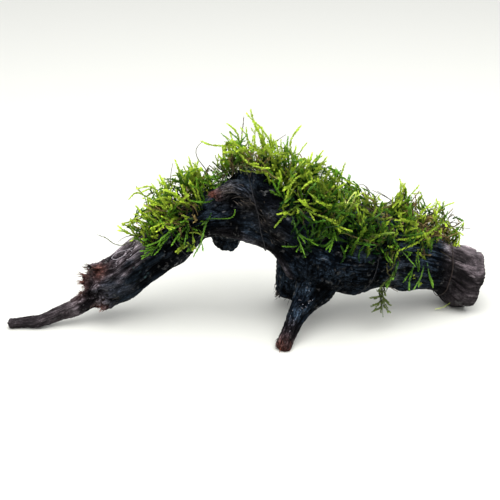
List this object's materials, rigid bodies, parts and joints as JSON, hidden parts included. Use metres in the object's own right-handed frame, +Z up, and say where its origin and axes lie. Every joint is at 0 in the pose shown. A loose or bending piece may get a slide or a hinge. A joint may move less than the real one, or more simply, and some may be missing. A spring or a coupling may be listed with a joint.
{
  "type": "java moss on driftwood",
  "caption": "Arched, branched piece of dark driftwood with clumps of bright green java moss tied along its top, standing free as an aquarium decoration.",
  "frame": {"origin": "on the plane that the wood rests on, under the middle of the bounding box", "axes": "+X towards the sawn right end, +Y away from the front leg, +Z up"},
  "size_m": [0.2476, 0.0716, 0.1111],
  "materials": {
    "driftwood": "dark waterlogged wood, ridged along the grain, slightly wet",
    "moss": "fine translucent bright green fronds, with brown dead bits low down",
    "thread": "dark cotton sewing thread"
  },
  "bodies": {
    "root": {"driftwood_trunk": "driftwood", "driftwood_left_limb": "driftwood", "driftwood_left_spur": "driftwood", "driftwood_front_leg": "driftwood", "driftwood_back_root": "driftwood", "driftwood_back_knob": "driftwood", "driftwood_right_limb": "driftwood", "moss_left": "moss", "moss_crown": "moss", "moss_right": "moss", "thread_left": "thread", "thread_trunk": "thread", "thread_mid": "thread", "thread_right": "thread"}
  },
  "joints": []
}
